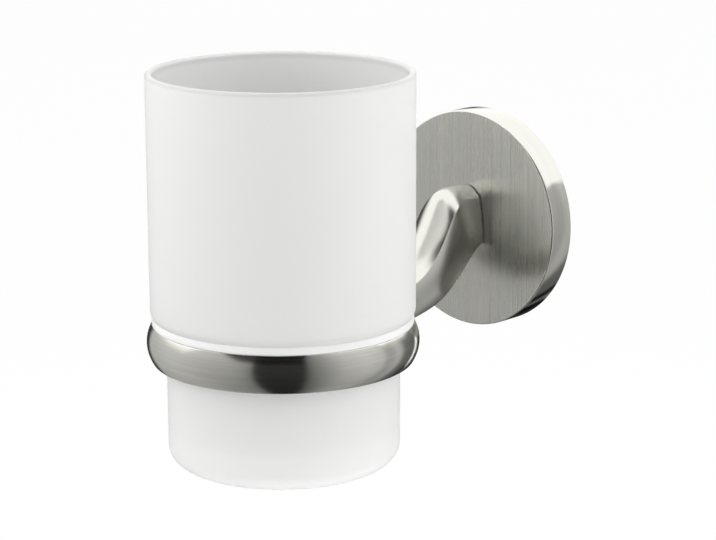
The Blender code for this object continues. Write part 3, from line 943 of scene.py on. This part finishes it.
class HOLDER_OT_washers(bpy.types.Operator):
    """Add the two split lock washers under the arm screws' heads"""

    bl_idname = "holder.washers"
    bl_label = "Lock washers"
    bl_options = {"REGISTER", "UNDO"}

    corner = 0.00012
    corner_steps = 3
    slit_width = 0.0003
    slit_tilt = math.radians(20)

    def execute(self, context):
        sizes = context.scene.screw_sizes
        steel = bpy.data.materials["screw_steel"]
        first = self.washer("lock_washer_upper", sizes)
        pick(first)
        bpy.ops.object.duplicate()
        second = bpy.context.object
        second.name = second.data.name = "split_lock_washer_lower"
        edit("SELECT")
        drop = middle_of("lock_washer_lower", 2) - middle_of("lock_washer_upper", 2)
        bpy.ops.transform.translate(value=(0, 0, drop))
        done()
        hand_over(first, "holder", "lock_washer_upper", steel)
        hand_over(second, "holder", "lock_washer_lower", steel)
        return {"FINISHED"}

    def washer(self, node, sizes):
        base = low_of(node, 1)
        thick = high_of(node, 1) - base
        inner, outer = sizes.radius + sizes.gap, sizes.washer_radius
        corners = ((outer, thick), (outer, 0), (inner, 0), (inner, thick))
        outline = rounded([(r, h, self.corner) for r, h in corners], self.corner_steps)
        centre = Vector((0, base, middle_of(node, 2)))
        item = turned("split_" + node, outline, centre, WALL, SMALL_TURN, ring=True)
        middle = centre + Vector((outer * 0.75, thick / 2, 0))
        cut(item, block("slit", middle, (outer, thick * 4, self.slit_width), self.slit_tilt))
        smooth(item)
        return item


class HOLDER_OT_rosette(bpy.types.Operator):
    """Add the round cover with its collar, boss and holes"""

    bl_idname = "holder.rosette"
    bl_label = "Rosette"
    bl_options = {"REGISTER", "UNDO"}

    corner_steps = 5
    longest_side = 0.008
    back_round = 0.0003
    collar_round = 0.0002
    fillet = 0.0004
    # the face is what looks into the room and lies within this depth of the front
    face_slope = -0.97
    face_depth = 0.0001
    # the polished band at the side's front edge, also painted paler as a highlight, starts and ends here
    polish_and_sheen = (-0.0006, -0.0001)

    def execute(self, context):
        sizes = context.scene.rosette_sizes
        screws = context.scene.screw_sizes
        shades = context.scene.holder_finish
        inner = sizes.radius - sizes.side_wall
        ceiling = sizes.depth - sizes.front_wall
        collar_inner = sizes.collar_radius - sizes.collar_wall
        outline = rounded(
            [
                (0, sizes.depth, 0),
                (sizes.radius, sizes.depth, sizes.edge),
                (sizes.radius, 0, self.back_round),
                (inner, 0, self.back_round),
                (inner, ceiling, sizes.side_wall / 2),
                (sizes.collar_radius, ceiling, self.fillet),
                (sizes.collar_radius, sizes.wall_clearance, self.collar_round),
                (collar_inner, sizes.wall_clearance, self.collar_round),
                (collar_inner, ceiling, self.fillet),
                (0, ceiling, 0),
            ],
            self.corner_steps,
        )
        outline = subdivided(outline, self.longest_side)
        item = turned("rosette_cover", outline, Vector((0, 0, 0)), ROOM, FINE_TURN)
        fuse(item, self.boss(sizes, inner, ceiling))
        for node in ARM_SCREWS:
            middle = Vector((0, 0, middle_of(node, 2)))
            start = middle + ROOM * (ceiling - OVERRUN)
            drill(item, screws.radius, start, middle + ROOM * (sizes.depth + OVERRUN))
        middle = Vector((0, middle_of("grub_screw", 1), 0))
        start = middle - UP * (sizes.radius + OVERRUN)
        drill(item, screws.grub_radius, start, middle - UP * (collar_inner - OVERRUN))
        smooth(item)
        face_y = -sizes.depth + self.face_depth
        hand_over(
            item, "holder", "rosette",
            self.face_nickel(shades), self.rim_nickel(shades, sizes),
            lambda middle, normal: normal.y > self.face_slope or middle.y > face_y,
        )
        return {"FINISHED"}

    def boss(self, sizes, inner, ceiling):
        """The block between collar and side wall that the grub screw is tapped through."""
        half, bite = sizes.boss_width / 2, sizes.side_wall / 2
        low = Vector((-half, -ceiling - bite, -inner - bite))
        high = Vector((half, -sizes.wall_clearance, -sizes.collar_radius + sizes.collar_wall / 2))
        return block("grub_screw_boss", (low + high) / 2, high - low)

    def face_nickel(self, shades):
        """Brushed upright: reflections are drawn out sideways across the hair lines, and the colour is
        painted darker as shade.
        """
        finish = Finish("rosette_nickel")
        x, y, z = finish.parts(finish.place())
        upright = finish.vector(x * 4300.0, y * 900.0, z * 11.0)
        return brushed(
            finish, tinted(shades.nickel, shades.face_painted_shade), shades.face_roughness, upright,
            lines=0.11, bump=0.07, stretch=0.93,
        )

    def rim_nickel(self, shades, sizes):
        """The turned side of the cover, smoother than its face, with its front edge painted paler as a
        highlight.
        """
        finish = Finish("rosette_rim_nickel")
        where, radius, height = around(finish, (0, 0, 0), "Y", *HAIR_LINES)
        # painted highlight: edge marks the front edge's band, which is painted paler
        edge = height.math("ABSOLUTE").past(sizes.depth, self.polish_and_sheen)
        return brushed(
            finish, shades.nickel, shades.rim_roughness, where, edge, lines=0.03, bump=0.03
        )


class HOLDER_OT_wall_bracket(bpy.types.Operator):
    """Add the pressed steel pan with its two wall screw slots"""

    bl_idname = "holder.wall_bracket"
    bl_label = "Wall bracket"
    bl_options = {"REGISTER", "UNDO"}

    corner_steps = 5
    longest_side = 0.006
    lip_round = 0.0002

    def execute(self, context):
        sizes = context.scene.bracket_sizes
        inner = sizes.radius - sizes.sheet
        outline = rounded(
            [
                (0, sizes.sheet, 0),
                (inner, sizes.sheet, sizes.bend),
                (inner, sizes.depth, self.lip_round),
                (sizes.radius, sizes.depth, self.lip_round),
                (sizes.radius, 0, sizes.bend),
                (0, 0, 0),
            ],
            self.corner_steps,
        )
        outline = subdivided(outline, self.longest_side)
        item = turned("pressed_wall_bracket", outline, Vector((0, 0, 0)), ROOM)
        cut(item, self.slot(sizes, -sizes.slot_distance, Vector((1, 0, 0))))
        cut(item, self.slot(sizes, sizes.slot_distance, UP))
        smooth(item)
        finish = self.zinc_sheet(context.scene.holder_finish)
        hand_over(item, "holder", "wall_bracket", finish)
        return {"FINISHED"}

    def slot(self, sizes, x, direction):
        """A round-ended slot: a drill whose two halves are drawn apart along the slot."""
        reach = (sizes.slot_length - sizes.slot_width) / 2
        middle = Vector((x, 0, 0))
        end = middle + ROOM * (sizes.sheet + OVERRUN)
        tool = rod("slot", sizes.slot_width / 2, middle + WALL * OVERRUN, end)
        pick(tool)
        for way in (direction, -direction):
            edit("DESELECT")
            work = bmesh.from_edit_mesh(tool.data)
            for vertex in work.verts:
                vertex.select = (vertex.co - middle).dot(way) > MERGE
            work.select_flush(True)
            bmesh.update_edit_mesh(tool.data)
            bpy.ops.transform.translate(value=way * reach)
        done()
        return tool

    def zinc_sheet(self, shades):
        """Zinc plated sheet with rolling grain and a faint spangle."""
        finish = Finish("bracket_steel")
        x, y, z = finish.parts(finish.place())
        grain = finish.vector(x * 90.0, y * 300.0, z * 3200.0)
        rolled = finish.noise(grain, 1.0, detail=3.0, roughness=0.6)
        cells = {"Vector": finish.place(), "Scale": 520.0}
        spangle = finish.node("ShaderNodeTexVoronoi", sockets=cells, output="Color")
        patch = finish.node("ShaderNodeSeparateColor", sockets={0: spangle})
        return finish.principled(
            0.36 + (rolled - 0.5) * 0.12 + (patch - 0.5) * 0.08,
            Base_Color=finish.toned(rolled * 0.6 + patch * 0.4, shades.zinc, 0.84, 1.12),
            Metallic=1.0,
            Normal=finish.bump(rolled, 0.12, 0.00003),
        )


class HOLDER_OT_arm(bpy.types.Operator):
    """Add the swept arm between rosette and ring"""

    bl_idname = "holder.arm"
    bl_label = "Arm"
    bl_options = {"REGISTER", "UNDO"}

    # control points of the two edge lines, as shares of their reach and fall
    upper_shares = ((0.300, -0.078), (0.282, 0.086), (0.418, 0.433), (0.617, 0.940), (0.766, 0.782))
    lower_shares = ((0.124, 0.128), (0.143, 0.349), (0.305, 0.604), (0.446, 0.826), (0.576, 0.862))
    # (place along the arm, share), the place being 0 at the rosette and 1 at the ring
    upper_width_shares = ((0, 0.745), (0.28, 1.0), (1, 1.0))
    lower_width_shares = ((0, 1.0), (0.45, 0.86), (1, 0.86))
    crown_shares = ((0, 1.14), (0.16, 1.3), (0.44, 1.0), (0.75, 1.0), (1, 0.5))
    bulge_shares = ((0, 0.28), (0.25, 1.0), (0.75, 1.0), (1, 0.5))
    belly_shares = ((0, 1.0), (0.75, 1.0), (1, 0.2))
    # points of each edge line's two spans, and of a rounded corner
    stations = 20
    corner_steps = 7
    arm_screw_depth = 0.0080
    ring_screw_depth = 0.0095
    # the worn end at the rosette, painted paler as a highlight, starts and ends here, measured back from
    # that end
    worn_sheen_end = (-0.0006, -0.0001)

    def execute(self, context):
        sizes = context.scene.arm_sizes
        rings = context.scene.holder_ring_sizes
        screw = context.scene.screw_sizes.radius
        middle = ring_middle()
        outer = half_width("holder_ring")
        end_y = middle.y + outer - rings.crown - OVERRUN
        base_y = high_of("arm", 1)
        half = sizes.base_height / 2
        ring_half = rings.height / 2 - sizes.end_margin
        start_crown = share_at(0, self.crown_shares) * sizes.crown
        end_crown = share_at(1, self.crown_shares) * sizes.crown
        upper = self.edge_line(
            Vector((0, base_y, sizes.base_rise + half - start_crown)),
            Vector((0, end_y, middle.z + ring_half - end_crown)),
            self.upper_shares,
        )
        lower = self.edge_line(
            Vector((0, base_y, sizes.base_rise - half)),
            Vector((0, end_y, middle.z - ring_half)),
            self.lower_shares,
        )
        last = len(upper) - 1
        item = self.skin([self.section(sizes, upper[k], lower[k], k / last) for k in range(last + 1)])
        cut(item, self.saddle(rings, sizes, middle))
        for node in ARM_SCREWS:
            start = Vector((0, base_y + OVERRUN, middle_of(node, 2)))
            drill(item, screw, start, start + ROOM * (self.arm_screw_depth + OVERRUN))
        start = Vector((0, middle.y + outer - OVERRUN, middle.z))
        drill(item, screw, start, start + WALL * (self.ring_screw_depth + OVERRUN))
        smooth(item)
        self.keep_grain(item, upper, lower)
        finish = self.arm_nickel(context.scene.holder_finish)
        hand_over(item, "holder", "arm", finish)
        return {"FINISHED"}

    def edge_line(self, start, end, shares):
        """One edge of the arm, seen from the side: two Bezier spans."""
        spread = end - start
        inner = [start + Vector((0, spread.y * y, spread.z * z)) for y, z in shares]
        points = [start, *inner, end]
        first = interpolate_bezier(*points[0:4], self.stations)
        second = interpolate_bezier(*points[3:7], self.stations)
        return first + second[1:]

    def section(self, sizes, upper, lower, place):
        """An arched top, bulging sides and a lower arched underside between the two edge lines."""
        middle = (upper + lower) / 2
        half = (upper - lower).length / 2
        upwards = (upper - lower).normalized()
        top = share_at(place, self.upper_width_shares) * sizes.width / 2
        foot = share_at(place, self.lower_width_shares) * sizes.width / 2
        crown = share_at(place, self.crown_shares) * sizes.crown
        bulge = share_at(place, self.bulge_shares) * sizes.bulge
        belly = share_at(place, self.belly_shares) * sizes.belly
        corners = [Vector((foot, -half)), Vector((top, half)), Vector((-top, half)), Vector((-foot, -half))]
        roundings = (sizes.corner_round, sizes.edge_round, sizes.edge_round, sizes.corner_round)
        outline = []
        for k, height in enumerate((bulge, crown, bulge, belly)):
            outline.append((*corners[k], roundings[k]))
            outline += [(*point, 0) for point in arch(corners[k], corners[(k + 1) % 4], height)]
        return [middle + Vector((x, 0, 0)) + upwards * z for x, z in rounded(outline, self.corner_steps)]

    def skin(self, sections):
        """Draws each section as a closed wire, bridges them in a row and closes both ends."""
        wires = []
        for points in sections:
            wires.append(drawn("swept_arm", [*points, points[0]]))
            done()
        pick(wires[0])
        for wire in wires:
            wire.select_set(True)
        bpy.ops.object.join()
        item = bpy.context.object
        edit("SELECT")
        bpy.ops.mesh.bridge_edge_loops(type="SINGLE")
        bpy.ops.mesh.select_all(action="SELECT")
        bpy.ops.mesh.fill_holes(sides=0)
        close_up()
        done()
        return item

    def saddle(self, rings, sizes, middle):
        """The ring's own shape with a gap round it, as a cutter for the arm's end."""
        face = crowned(rings, sizes.saddle_gap)
        above = rings.height / 2 + OVERRUN
        outline = [(0, above), (face[0][0], above), *face, (face[-1][0], -above), (0, -above)]
        return turned("saddle", outline, middle)

    def keep_grain(self, item, top, bottom):
        """Stores the brush direction: across the arm, off its middle line and along it."""
        line = [(a + b) / 2 for a, b in zip(top, bottom)]
        run = [0.0]
        for here, there in zip(line, line[1:]):
            run.append(run[-1] + (there - here).length)
        grain = item.data.attributes.new("grain", "FLOAT_VECTOR", "POINT")
        values = []
        for vertex in item.data.vertices:
            spot = Vector((0, vertex.co.y, vertex.co.z))
            best = None
            for k, (here, there) in enumerate(zip(line, line[1:])):
                along = there - here
                share = max(0.0, min(1.0, (spot - here).dot(along) / along.length_squared))
                near = here + along * share
                gap = (spot - near).length
                if best is None or gap < best[0]:
                    side = along.cross(spot - near).x
                    best = (gap, math.copysign(gap, side), run[k] + along.length * share)
            values += [vertex.co.x, best[1], best[2]]
        grain.data.foreach_set("vector", values)

    def arm_nickel(self, shades):
        """Softly brushed along the arm, with its end at the rosette worn and painted paler as a highlight.
        """
        finish = Finish("arm_nickel")
        grain = finish.node("ShaderNodeAttribute", {"attribute_name": "grain"}, output="Vector")
        x, off, run = finish.parts(grain)
        fast = HAIR_LINES[1]
        where = finish.vector(x * fast, off * fast, run * 90.0)
        # painted highlight: the end at the rosette is painted paler
        wear_and_sheen = (0 - run).past(0, self.worn_sheen_end)
        return brushed(
            finish, shades.nickel, shades.arm_roughness, where, wear_and_sheen, lines=0.02, bump=0.03
        )


# ---------------------------------------------------------------- studio


class HOLDER_OT_studio(bpy.types.Operator):
    """Add the floor, soft lights, light tent and camera"""

    bl_idname = "holder.studio"
    bl_label = "Studio"
    bl_options = {"REGISTER", "UNDO"}

    camera_place = Vector((0.41873, -0.4930, 0.14433))
    # the camera's right, up and forward
    camera_axes = ((0.7256, 0.6881, -0.0029), (-0.1639, 0.1769, 0.9705), (-0.6683, 0.7037, -0.2411))
    lens = 119.36
    sensor_width = 36
    clip = (0.01, 100)
    floor_z = -0.42
    floor_radius = 30
    # the floor's own shades, and how much of it glows where it is seen
    floor_shades = ((0.86, 0.86, 0.86), (0.88, 0.88, 0.88))
    floor_glow = 1.05
    floor_glow_share = 0.85
    light_aim = Vector((0, -0.05, 0))
    tent_radius = 0.40
    tent_middle = (0.0, -0.06, 0.0)
    roof_level = 1.95
    tent_level = 0.66
    # (heading in degrees, radiance at eye level), heading 0 being towards the camera
    side_levels = (
        (-180, 1.4), (-174, 1.3), (-170, 0.06), (-146, 0.06), (-140, 0.85), (-104, 1.05), (-88, 1.0),
        (-64, 0.80), (-40, 0.62), (-28, 0.42), (-24, 0.05), (14, 0.05), (18, 0.25), (48, 0.85),
        (68, 1.02), (86, 0.94), (90, 0.66), (98, 0.66), (103, 0.86), (110, 0.80), (116, 0.28),
        (132, 0.22), (139, 0.05), (141, 2.5), (145, 2.5), (147, 0.04), (172, 0.06), (176, 1.3),
        (180, 1.4),
    )
    # (height in degrees, factor)
    tilt_levels = (
        (-90, 0.5), (-60, 0.60), (-45, 0.69), (-30, 0.82), (-15, 0.90), (0, 1.0), (15, 1.12), (90, 1.3),
    )
    # (heading in degrees, height in degrees above which the white roof is seen)
    roof_edges = (
        (-180, 12), (-140, 16), (-110, 12), (-100, 13), (-88, 13), (-76, 34), (-60, 44), (-44, 46),
        (-28, 54), (20, 56), (40, 48), (60, 40), (80, 32), (88, 28), (91, 20), (100, 20), (120, 10),
        (180, 8),
    )
    # (heading in degrees, how much sharper than usual the roof's edge is)
    roof_sharpness = ((-180, 1.0), (84, 1.0), (90, 5.0), (102, 5.0), (112, 1.0), (180, 1.0))
    # (heading in degrees, height in degrees above which a dark card hangs under the roof)
    card_edges = (
        (-180, 90), (-72, 90), (-66, 42), (-56, 34), (-40, 22), (-24, 20), (14, 20), (22, 60),
        (26, 90), (180, 90),
    )
    # soft edges in degrees: of the roof and the card, and of the low card's top and sides
    roof_soft, card_soft = 7.0, 4.0
    low_card_top, low_card_start, low_card_end = (-34.0, -28.0), (130.0, 134.0), (156.0, 160.0)
    # how much of the side's light each card takes away
    card_share, low_card_share = 0.93, 0.9

    def execute(self, context):
        studio = context.scene.holder_studio
        self.world(studio)
        self.floor()
        self.lights(studio)
        self.tent()
        self.camera()
        context.scene.view_settings.view_transform = "Standard"
        return {"FINISHED"}

    def world(self, studio):
        """Even light on the object, and plain white where the world is seen."""
        finish = Finish("studio", "worlds")
        fill, backdrop = (
            finish.node("ShaderNodeBackground", sockets={"Color": WHITE, "Strength": strength})
            for strength in (studio.fill, 1.0)
        )
        seen = self.seen_directly(finish)
        mix = finish.node("ShaderNodeMixShader", sockets={0: seen, 1: fill, 2: backdrop})
        bpy.context.scene.world = finish.ended(mix, "ShaderNodeOutputWorld")

    def seen_directly(self, finish):
        """1 for camera, glossy and transmission rays."""
        camera, glossy, through = (
            finish.node("ShaderNodeLightPath", output=f"Is {ray} Ray")
            for ray in ("Camera", "Glossy", "Transmission")
        )
        return camera.math("MAXIMUM", glossy).math("MAXIMUM", through)

    def floor(self):
        item = added(
            "floor", bpy.ops.mesh.primitive_circle_add, vertices=96, radius=self.floor_radius,
            fill_type="NGON", location=(0, 0, self.floor_z),
        )
        at_origin(item)
        finish = Finish("floor")
        seen = self.seen_directly(finish)
        base = finish.mixed(finish.noise(finish.place(), 9.0, detail=3.0), *self.floor_shades)
        matt = finish.node("ShaderNodeBsdfPrincipled", sockets={"Base Color": base, "Roughness": 0.9})
        parts = {0: seen * self.floor_glow_share, 1: matt, 2: finish.glow(self.floor_glow)}
        item.data.materials.append(finish.ended(finish.node("ShaderNodeMixShader", sockets=parts)))

    def lights(self, studio):
        """Square soft boxes that light the object and aren't mirrored in it."""
        boxes = (
            ("top", Vector((-0.15, -0.25, 0.95)), 1.0, studio.top_light),
            ("left", self.heading(-62) * 0.95 + UP * 0.45, 1.0, studio.left_light),
            ("right", self.heading(62) * 0.95 + UP * 0.45, 1.0, studio.right_light),
            ("low", self.heading(0) * 0.15 - UP * 0.38, 0.8, studio.low_light),
        )
        for name, place, width, radiance in boxes:
            turn = (self.light_aim - place).to_track_quat("-Z", "Y").to_euler()
            item = added(
                name + "_soft_box", bpy.ops.object.light_add, type="AREA", location=place, rotation=turn
            )
            item.data.size = width
            item.data.energy = radiance * math.pi * width * width
            item.data.cycles.use_multiple_importance_sampling = False
            item.visible_camera = False
            item.visible_glossy = False

    def heading(self, degrees):
        """A level direction, in degrees from the tumbler towards the camera and on to its right."""
        toward = self.camera_place - tumbler_axis()
        toward = Vector((toward.x, toward.y, 0)).normalized()
        right = Vector((-toward.y, toward.x, 0))
        turn = math.radians(degrees)
        return toward * math.cos(turn) + right * math.sin(turn)

    def tent(self):
        """A light tent round the object: white above, softer below, with a dark gap for the camera."""
        item = added(
            "light_tent", bpy.ops.mesh.primitive_uv_sphere_add, segments=64, ring_count=32,
            radius=self.tent_radius, location=self.tent_middle,
        )
        at_origin(item)
        finish = Finish("light_tent")
        x, y, z = (part - start for part, start in zip(finish.parts(finish.place()), self.tent_middle))
        toward, right = self.heading(0), self.heading(90)
        ahead = x * toward.x + y * toward.y
        aside = x * right.x + y * right.y
        heading = aside.math("ARCTAN2", ahead) * DEGREES
        height = (z / self.tent_radius).math("ARCSINE") * DEGREES
        over_roof = (height - heading.ramp(self.roof_edges)) * heading.ramp(self.roof_sharpness)
        roof = over_roof.step(-self.roof_soft, self.roof_soft)
        card = (height - heading.ramp(self.card_edges)).step(-self.card_soft, self.card_soft)
        low_card = (1 - height.step(*self.low_card_top)) * heading.step(*self.low_card_start)
        low_card = low_card * (1 - heading.step(*self.low_card_end))
        side = heading.ramp(self.side_levels) * (1 - card * self.card_share)
        side = side * (1 - low_card * self.low_card_share) * height.ramp(self.tilt_levels)
        glow = (side * (1 - roof) + roof * self.roof_level) * self.tent_level
        item.data.materials.append(finish.ended(finish.glow(glow)))
        for ray in ("camera", "transmission", "shadow", "volume_scatter"):
            setattr(item, "visible_" + ray, False)

    def camera(self):
        item = added("Camera", bpy.ops.object.camera_add, location=self.camera_place)
        right, up, forward = (Vector(axis) for axis in self.camera_axes)
        item.rotation_euler = Matrix((right, up, -forward)).transposed().to_euler()
        item.data.sensor_width = self.sensor_width
        item.data.lens = self.lens
        item.data.clip_start, item.data.clip_end = self.clip
        bpy.context.scene.camera = item


class HOLDER_PT_panel(bpy.types.Panel):
    """Lists the pieces of the tumbler holder"""

    bl_label = "Tumbler holder"
    bl_idname = "HOLDER_PT_panel"
    bl_space_type = "VIEW_3D"
    bl_region_type = "UI"
    bl_category = "Holder"

    def draw(self, context):
        for operator in PIECES:
            self.layout.operator(operator.bl_idname)


PIECES = (
    HOLDER_OT_tumbler,
    HOLDER_OT_seat_ring,
    HOLDER_OT_holder_ring,
    HOLDER_OT_screws,
    HOLDER_OT_washers,
    HOLDER_OT_rosette,
    HOLDER_OT_wall_bracket,
    HOLDER_OT_arm,
    HOLDER_OT_studio,
)

GROUPS = {
    "tumbler_sizes": TumblerSizes,
    "seat_ring_sizes": SeatRingSizes,
    "holder_ring_sizes": HolderRingSizes,
    "arm_sizes": ArmSizes,
    "rosette_sizes": RosetteSizes,
    "bracket_sizes": BracketSizes,
    "screw_sizes": ScrewSizes,
    "holder_finish": HolderFinish,
    "holder_studio": HolderStudio,
}


def register():
    for name, group in GROUPS.items():
        bpy.utils.register_class(group)
        setattr(bpy.types.Scene, name, bpy.props.PointerProperty(type=group))
    for operator in PIECES:
        bpy.utils.register_class(operator)
    bpy.utils.register_class(HOLDER_PT_panel)


def unregister():
    bpy.utils.unregister_class(HOLDER_PT_panel)
    for operator in reversed(PIECES):
        bpy.utils.unregister_class(operator)
    for name, group in GROUPS.items():
        delattr(bpy.types.Scene, name)
        bpy.utils.unregister_class(group)


def main():
    register()
    bpy.ops.holder.tumbler()
    bpy.ops.holder.seat_ring()
    bpy.ops.holder.holder_ring()
    bpy.ops.holder.screws()
    bpy.ops.holder.washers()
    bpy.ops.holder.rosette()
    bpy.ops.holder.wall_bracket()
    bpy.ops.holder.arm()
    bpy.ops.holder.studio()


if __name__ == "__main__":
    main()
